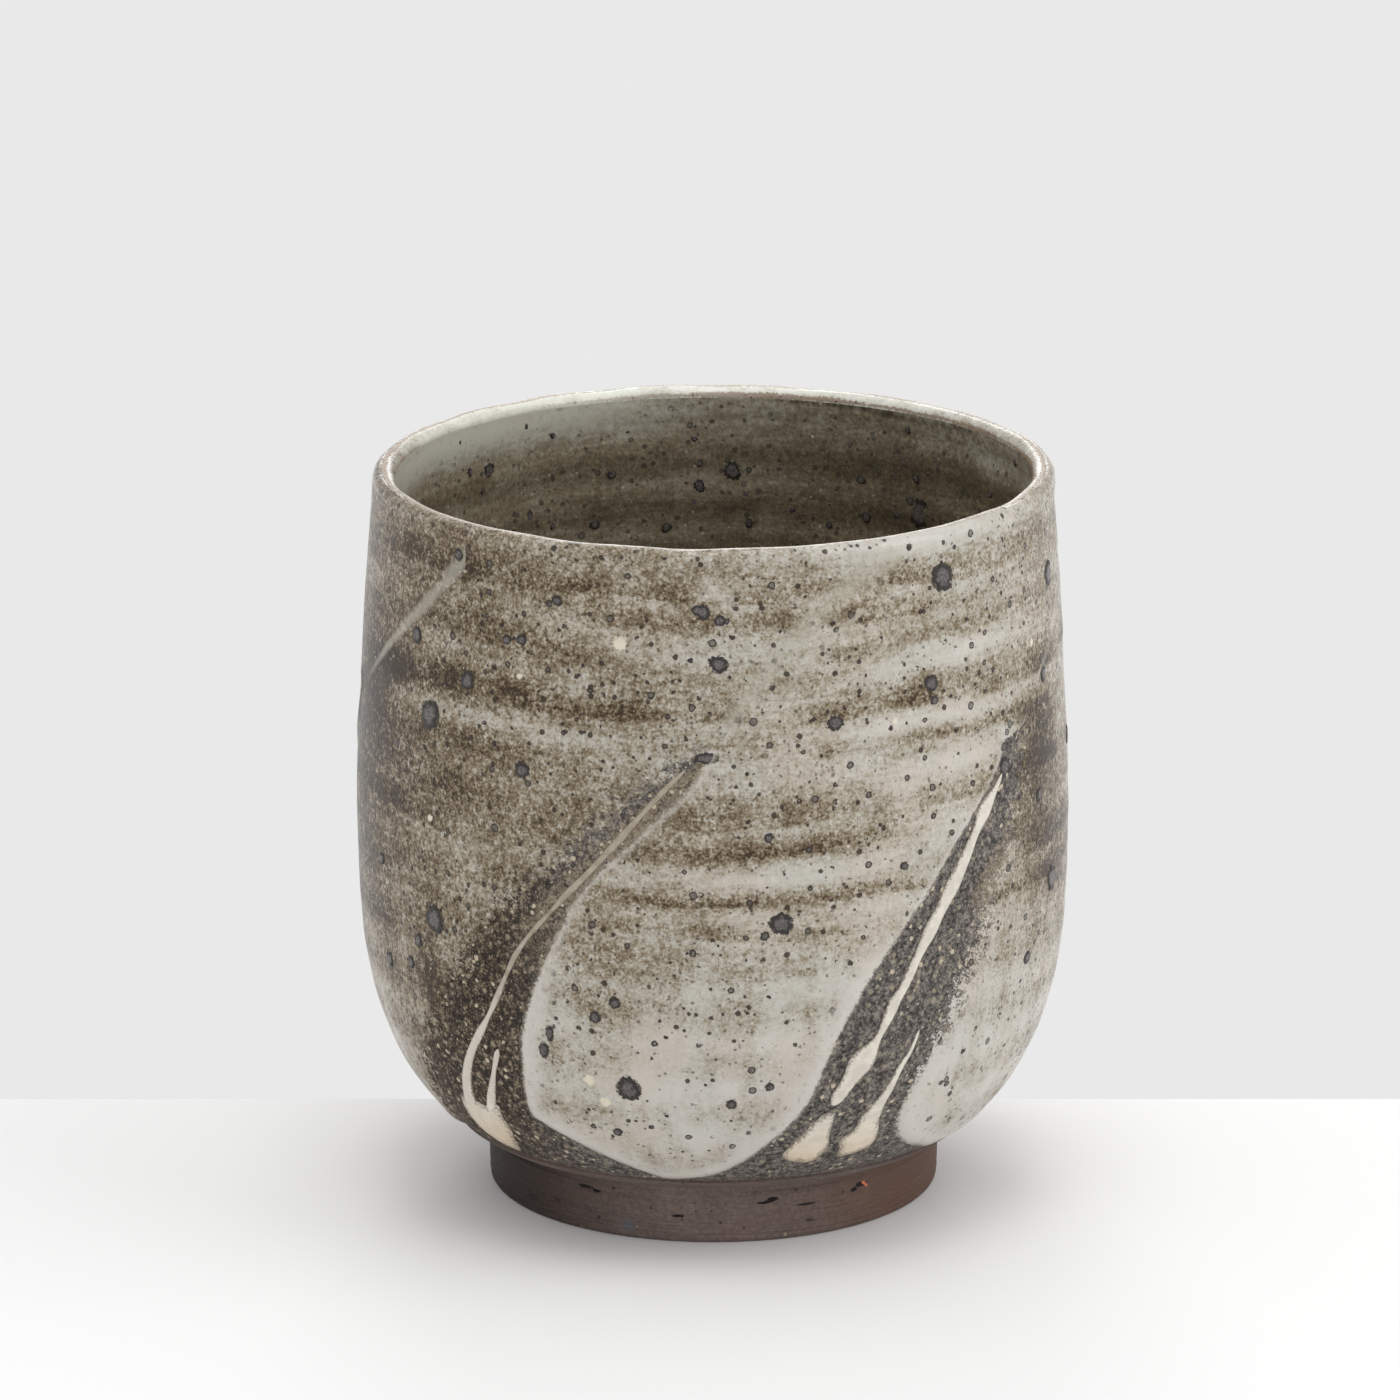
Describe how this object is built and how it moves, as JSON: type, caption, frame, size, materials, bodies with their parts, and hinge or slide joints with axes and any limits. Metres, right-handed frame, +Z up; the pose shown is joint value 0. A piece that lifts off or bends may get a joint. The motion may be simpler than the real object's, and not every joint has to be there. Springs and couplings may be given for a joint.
{
  "type": "tea cup",
  "caption": "Tall stoneware tea cup without a handle, on a bare turned foot ring, with pale glaze, wiped finger marks, glaze runs and iron spots.",
  "frame": {"origin": "centre of the foot ring's bottom face, on the surface that the cup stands on", "axes": "+Z up along the cup's axis of turning, -Y towards the side that is seen first, +X to the right of it"},
  "size_m": [0.085, 0.0852, 0.088],
  "materials": {
    "bare_clay": "unglazed dark stoneware, matt, with turning lines",
    "wall_clay": "dark stoneware with a thin speckled film of glaze where it was wiped",
    "outside_glaze": "satin-gloss pale grey ash glaze, brown where it is thin over the throwing rings",
    "inside_glaze": "satin-gloss grey-olive glaze over throwing rings",
    "rim_glaze": "thin tan-brown glaze over the lip",
    "run_glaze": "thick cream glaze that has run and pooled",
    "iron": "melted iron, dark with a dull metallic sheen"
  },
  "bodies": {
    "root": {"foot_ring": "bare_clay", "cup_floor": "bare_clay", "thrown_wall": "wall_clay", "inside_glaze": "inside_glaze", "outside_glaze": "outside_glaze", "rim_glaze": "rim_glaze", "left_glaze_run": "run_glaze", "right_glaze_runs": "run_glaze", "back_glaze_runs": "run_glaze", "iron_spots_outside": "iron", "iron_spots_inside": "iron"}
  },
  "joints": []
}
